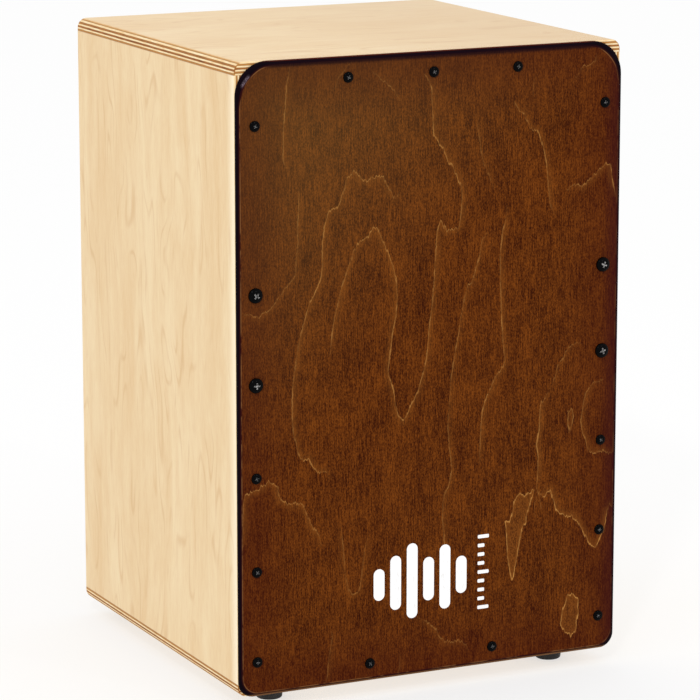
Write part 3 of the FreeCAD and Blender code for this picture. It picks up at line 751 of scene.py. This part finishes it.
def coil(work, route):
    """A coiled wire along a bent line."""
    lengths = [(b - a).length for a, b in zip(route, route[1:])]
    total = sum(lengths)
    count = int(total / COIL_PITCH * COIL_STEPS)
    previous = None
    for k in range(count + 1):
        run = WIRE_RADIUS + (total - 2 * WIRE_RADIUS) * k / count
        part = 0 if run <= lengths[0] else 1
        start, end = route[part], route[part + 1]
        line = (end - start).normalized()
        centre = start + line * (run - (lengths[0] if part else 0))
        side = line.cross(Vector((0, 1, 0))).normalized()
        out = side.cross(line).normalized()
        turn = 2 * math.pi * k / COIL_STEPS
        radial = side * math.cos(turn) + out * math.sin(turn)
        tangent = side * -math.sin(turn) + out * math.cos(turn)
        slope = (tangent * (2 * math.pi * COIL_RADIUS) + line * COIL_PITCH).normalized()
        normal = slope.cross(radial).normalized()
        wire = centre + radial * COIL_RADIUS
        ring = []
        for side_index in range(WIRE_SIDES):
            a = 2 * math.pi * side_index / WIRE_SIDES
            point = wire + (radial * math.cos(a) + normal * math.sin(a)) * WIRE_RADIUS
            ring.append(work.verts.new(point * MM))
        if previous is None:
            work.faces.new(list(reversed(ring)))
        else:
            for n in range(WIRE_SIDES):
                m = (n + 1) % WIRE_SIDES
                work.faces.new((previous[n], previous[m], ring[m], ring[n]))
        previous = ring
    work.faces.new(previous)


def snare_set(side, wire_material):
    """Ten coiled strands in place of one CAD set of plain rods."""
    node = "snare_strands_" + side
    low, high = box_mm(node)
    middle = (low.x + high.x) / 2
    work = bmesh.new()
    for k in range(STRANDS):
        step = k - (STRANDS - 1) / 2
        coil(work, strand_route(middle + step * STRAND_PITCH, step * STRAND_FAN, low, high))
    bmesh.ops.recalc_face_normals(work, faces=work.faces)
    mesh = bpy.data.meshes.new("snare_coils_" + side)
    work.to_mesh(mesh)
    work.free()
    mesh.shade_smooth()
    mesh.materials.append(wire_material)
    coils = bpy.data.objects.new("snare_coils_" + side, mesh)
    bpy.context.scene.collection.objects.link(coils)
    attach(coils, "root")
    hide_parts(node)
    return coils


# ---- metal and rubber ----

# Head radius, height, and the straight rim under the dome, as in the CAD.
SMALL_HEAD = (3.8, 1.7, 0.5)
LARGE_HEAD = (5.3, 2.8, 0.6)


def black_screw_paint(node, radius, height, rim, wear_and_glint):
    """Semi-gloss black, worn to bare metal inside the cross recess; that bright metal is also a painted
    highlight for the glints of light there.
    """
    s = Shader("black_" + node)
    place = s.place()
    flat = s.vector("MULTIPLY", place, (1, 0, 1))
    nearest = 1000.0
    for x, _, z in loose_centres(nodes[node].data):
        away = s.vector("DISTANCE", flat, (x / MM, 0, z / MM))
        nearest = s.math("MINIMUM", away, nearest)
    share = s.math("MINIMUM", s.math("DIVIDE", nearest, radius), 0.999)
    bulge = s.math("SQRT", s.math("SUBTRACT", 1.0, s.math("MULTIPLY", share, share)))
    dome = s.math("MULTIPLY_ADD", bulge, rim - height, PLATE_LOW.y - rim)
    sunk = s.step(s.math("SUBTRACT", s.parts(place)[1], dome), 0.06, 0.3)
    inside = s.math("MULTIPLY", sunk, s.step(nearest, radius * 0.64, radius * 0.5))

    rub = s.noise(place, (0.8, 0.8, 0.8), 4.0, 3, 0.6)
    scuffs_and_glints = s.noise(place, (1.1, 1.1, 1.1), 8.0, 2, 0.5)
    colour = s.mix(s.step(rub, 0.5, 0.75), srgb(2, 2, 3), srgb(9, 9, 10))
    # Painted highlight in part: the bright bare metal speckled into the recess is real wear and also stands
    # in for the glints of light there.
    bare = s.math("MULTIPLY", s.step(scuffs_and_glints, 0.38, 0.58, 0.15, 1.0), s.math("MULTIPLY", inside, wear_and_glint))
    colour = s.mix(bare, colour, srgb(214, 212, 210))
    s.bump(rub, 0.02, 0.3)
    return s.finish(colour, s.math("MULTIPLY_ADD", rub, 0.16, 0.1), 0.04)


def zinc():
    s = Shader("zinc_steel")
    place = s.place()
    cloud = s.noise(place, (3, 3, 3), 6.0, 3, 0.6)
    grain = s.noise(place, (0.25, 0.25, 2.5), 9.0, 2, 0.6)
    colour = s.mix(cloud, srgb(168, 168, 166), srgb(208, 210, 212))
    s.bump(grain, 0.01, 0.4)
    return s.finish(colour, s.math("MULTIPLY_ADD", cloud, 0.2, 0.22), 0.5, 1.0)


def snare_wire():
    s = Shader("snare_wire")
    place = s.place()
    drawn = s.noise(place, (0.3, 0.3, 0.3), 12.0, 2, 0.5)
    colour = s.mix(drawn, srgb(178, 174, 166), srgb(214, 212, 206))
    return s.finish(colour, s.math("MULTIPLY_ADD", drawn, 0.2, 0.2), 0.5, 1.0)


def foot_rubber():
    s = Shader("foot_rubber")
    place = s.place()
    pebble = s.noise(place, (0.7, 0.7, 0.7), 15.0, 3, 0.65)
    dust = s.noise(place, (9, 9, 4), 19.0, 2, 0.5)
    colour = s.mix(s.step(dust, 0.45, 0.8), srgb(20, 20, 21), srgb(44, 43, 42))
    s.bump(pebble, 0.06, 0.5)
    return s.finish(colour, s.math("MULTIPLY_ADD", pebble, 0.2, 0.55), 0.4)


def dress(names, material):
    """Gives CAD nodes a material in place of their plain one."""
    for name in names:
        mesh = nodes[name].data
        mesh.materials.clear()
        mesh.materials.append(material)


def dress_cad_nodes():
    panel = BODY_HIGH.z - SIDE_HIGH.z
    back_low, back_high = box_mm("back_panel")
    back_thick = back_high.y - back_low.y
    dress(["top_panel"], plywood("birch_top", "Z", BODY_HIGH.z, 1, panel, 7, "X", "Y", 10.0))
    dress(["bottom_panel"], plywood("birch_bottom", "Z", BODY_LOW.z, -1, panel, 7, "X", "Y", 20.0))
    dress(["left_side_panel"], plywood("birch_left", "X", -HALF_WIDTH, -1, panel, 7, "Z", "Y", 30.0))
    dress(["right_side_panel"], plywood("birch_right", "X", HALF_WIDTH, 1, panel, 7, "Z", "Y", 40.0))
    dress(["back_panel"], plywood("birch_back", "Y", back_high.y, 1, back_thick, 5, "Z", "X", 50.0))
    uprights = ["front_batten_left", "front_batten_right", "rear_batten_left", "rear_batten_right"]
    crossers = ["front_batten_top", "front_batten_bottom", "rear_batten_top", "rear_batten_bottom"]
    dress(uprights, softwood("spruce_upright", "Z", 60.0))
    dress(crossers + ["snare_crossbar"], softwood("spruce_cross", "X", 64.0))
    blocks = [n for n in nodes if n.startswith("glue_block")]
    dress(blocks, softwood("spruce_blocks", "Y", 68.0))
    for node, (radius, height, rim), wear_and_glint in (
        ("plate_screws_small", SMALL_HEAD, 0.32),
        ("plate_screws_large", LARGE_HEAD, 0.8),
    ):
        dress([node], black_screw_paint(node, radius, height, rim, wear_and_glint))
    steel = ["crossbar_screws", "snare_clamp_screws", "snare_clamp_left", "snare_clamp_right"]
    dress(steel + ["foot_washers", "foot_screws"], zinc())
    dress([n for n in nodes if n.startswith("foot_") and n not in ("foot_washers", "foot_screws")],
          foot_rubber())


# ---- stage, light and camera ----

def stage_floor():
    mesh = bpy.data.meshes.new("floor")
    size = 30.0
    corners = [(-size, -size, 0), (size, -size, 0), (size, size, 0), (-size, size, 0)]
    mesh.from_pydata(corners, [], [(0, 1, 2, 3)])
    floor = bpy.data.objects.new("floor", mesh)
    bpy.context.scene.collection.objects.link(floor)
    s = Shader("floor_paper")
    s.bsdf.inputs["Emission Color"].default_value = (1, 1, 1, 1)
    s.bsdf.inputs["Emission Strength"].default_value = 0.62
    mesh.materials.append(s.finish((0.36, 0.36, 0.36, 1), 0.9, 0.0))


def area_light(name, place, aim, size, power):
    data = bpy.data.lights.new(name, "AREA")
    data.shape = "RECTANGLE"
    data.size, data.size_y = size
    data.energy = power
    light = bpy.data.objects.new(name, data)
    light.location = place
    light.rotation_euler = (Vector(aim) - Vector(place)).to_track_quat("-Z", "Y").to_euler()
    bpy.context.scene.collection.objects.link(light)


def light_and_world():
    world = bpy.data.worlds.new("studio")
    world.use_nodes = True
    world.node_tree.nodes["Background"].inputs["Color"].default_value = (1, 1, 1, 1)
    world.node_tree.nodes["Background"].inputs["Strength"].default_value = 1.0
    bpy.context.scene.world = world
    area_light("key", (-1.5, -2.2, 2.3), (0, 0, 0.25), (0.22, 0.22), 14)
    area_light("glint", (0.9, -2.6, 1.7), (0, 0, 0.25), (0.14, 0.14), 4)


def camera():
    data = bpy.data.cameras.new("camera")
    data.sensor_width = 36.0
    data.lens = 187.1
    data.clip_end = 100
    view = bpy.data.objects.new("camera", data)
    view.location = (-1.1416, -2.3735, 0.7729)
    view.rotation_euler = (math.radians(90 - 11.844), 0, math.radians(-25.781))
    bpy.context.scene.collection.objects.link(view)
    bpy.context.scene.camera = view


camera()
light_and_world()
stage_floor()
dress_cad_nodes()
front_plate()
printed_mark()
wire = snare_wire()
for side in ("left", "right"):
    snare_set(side, wire)
bpy.context.scene.view_settings.view_transform = "Standard"
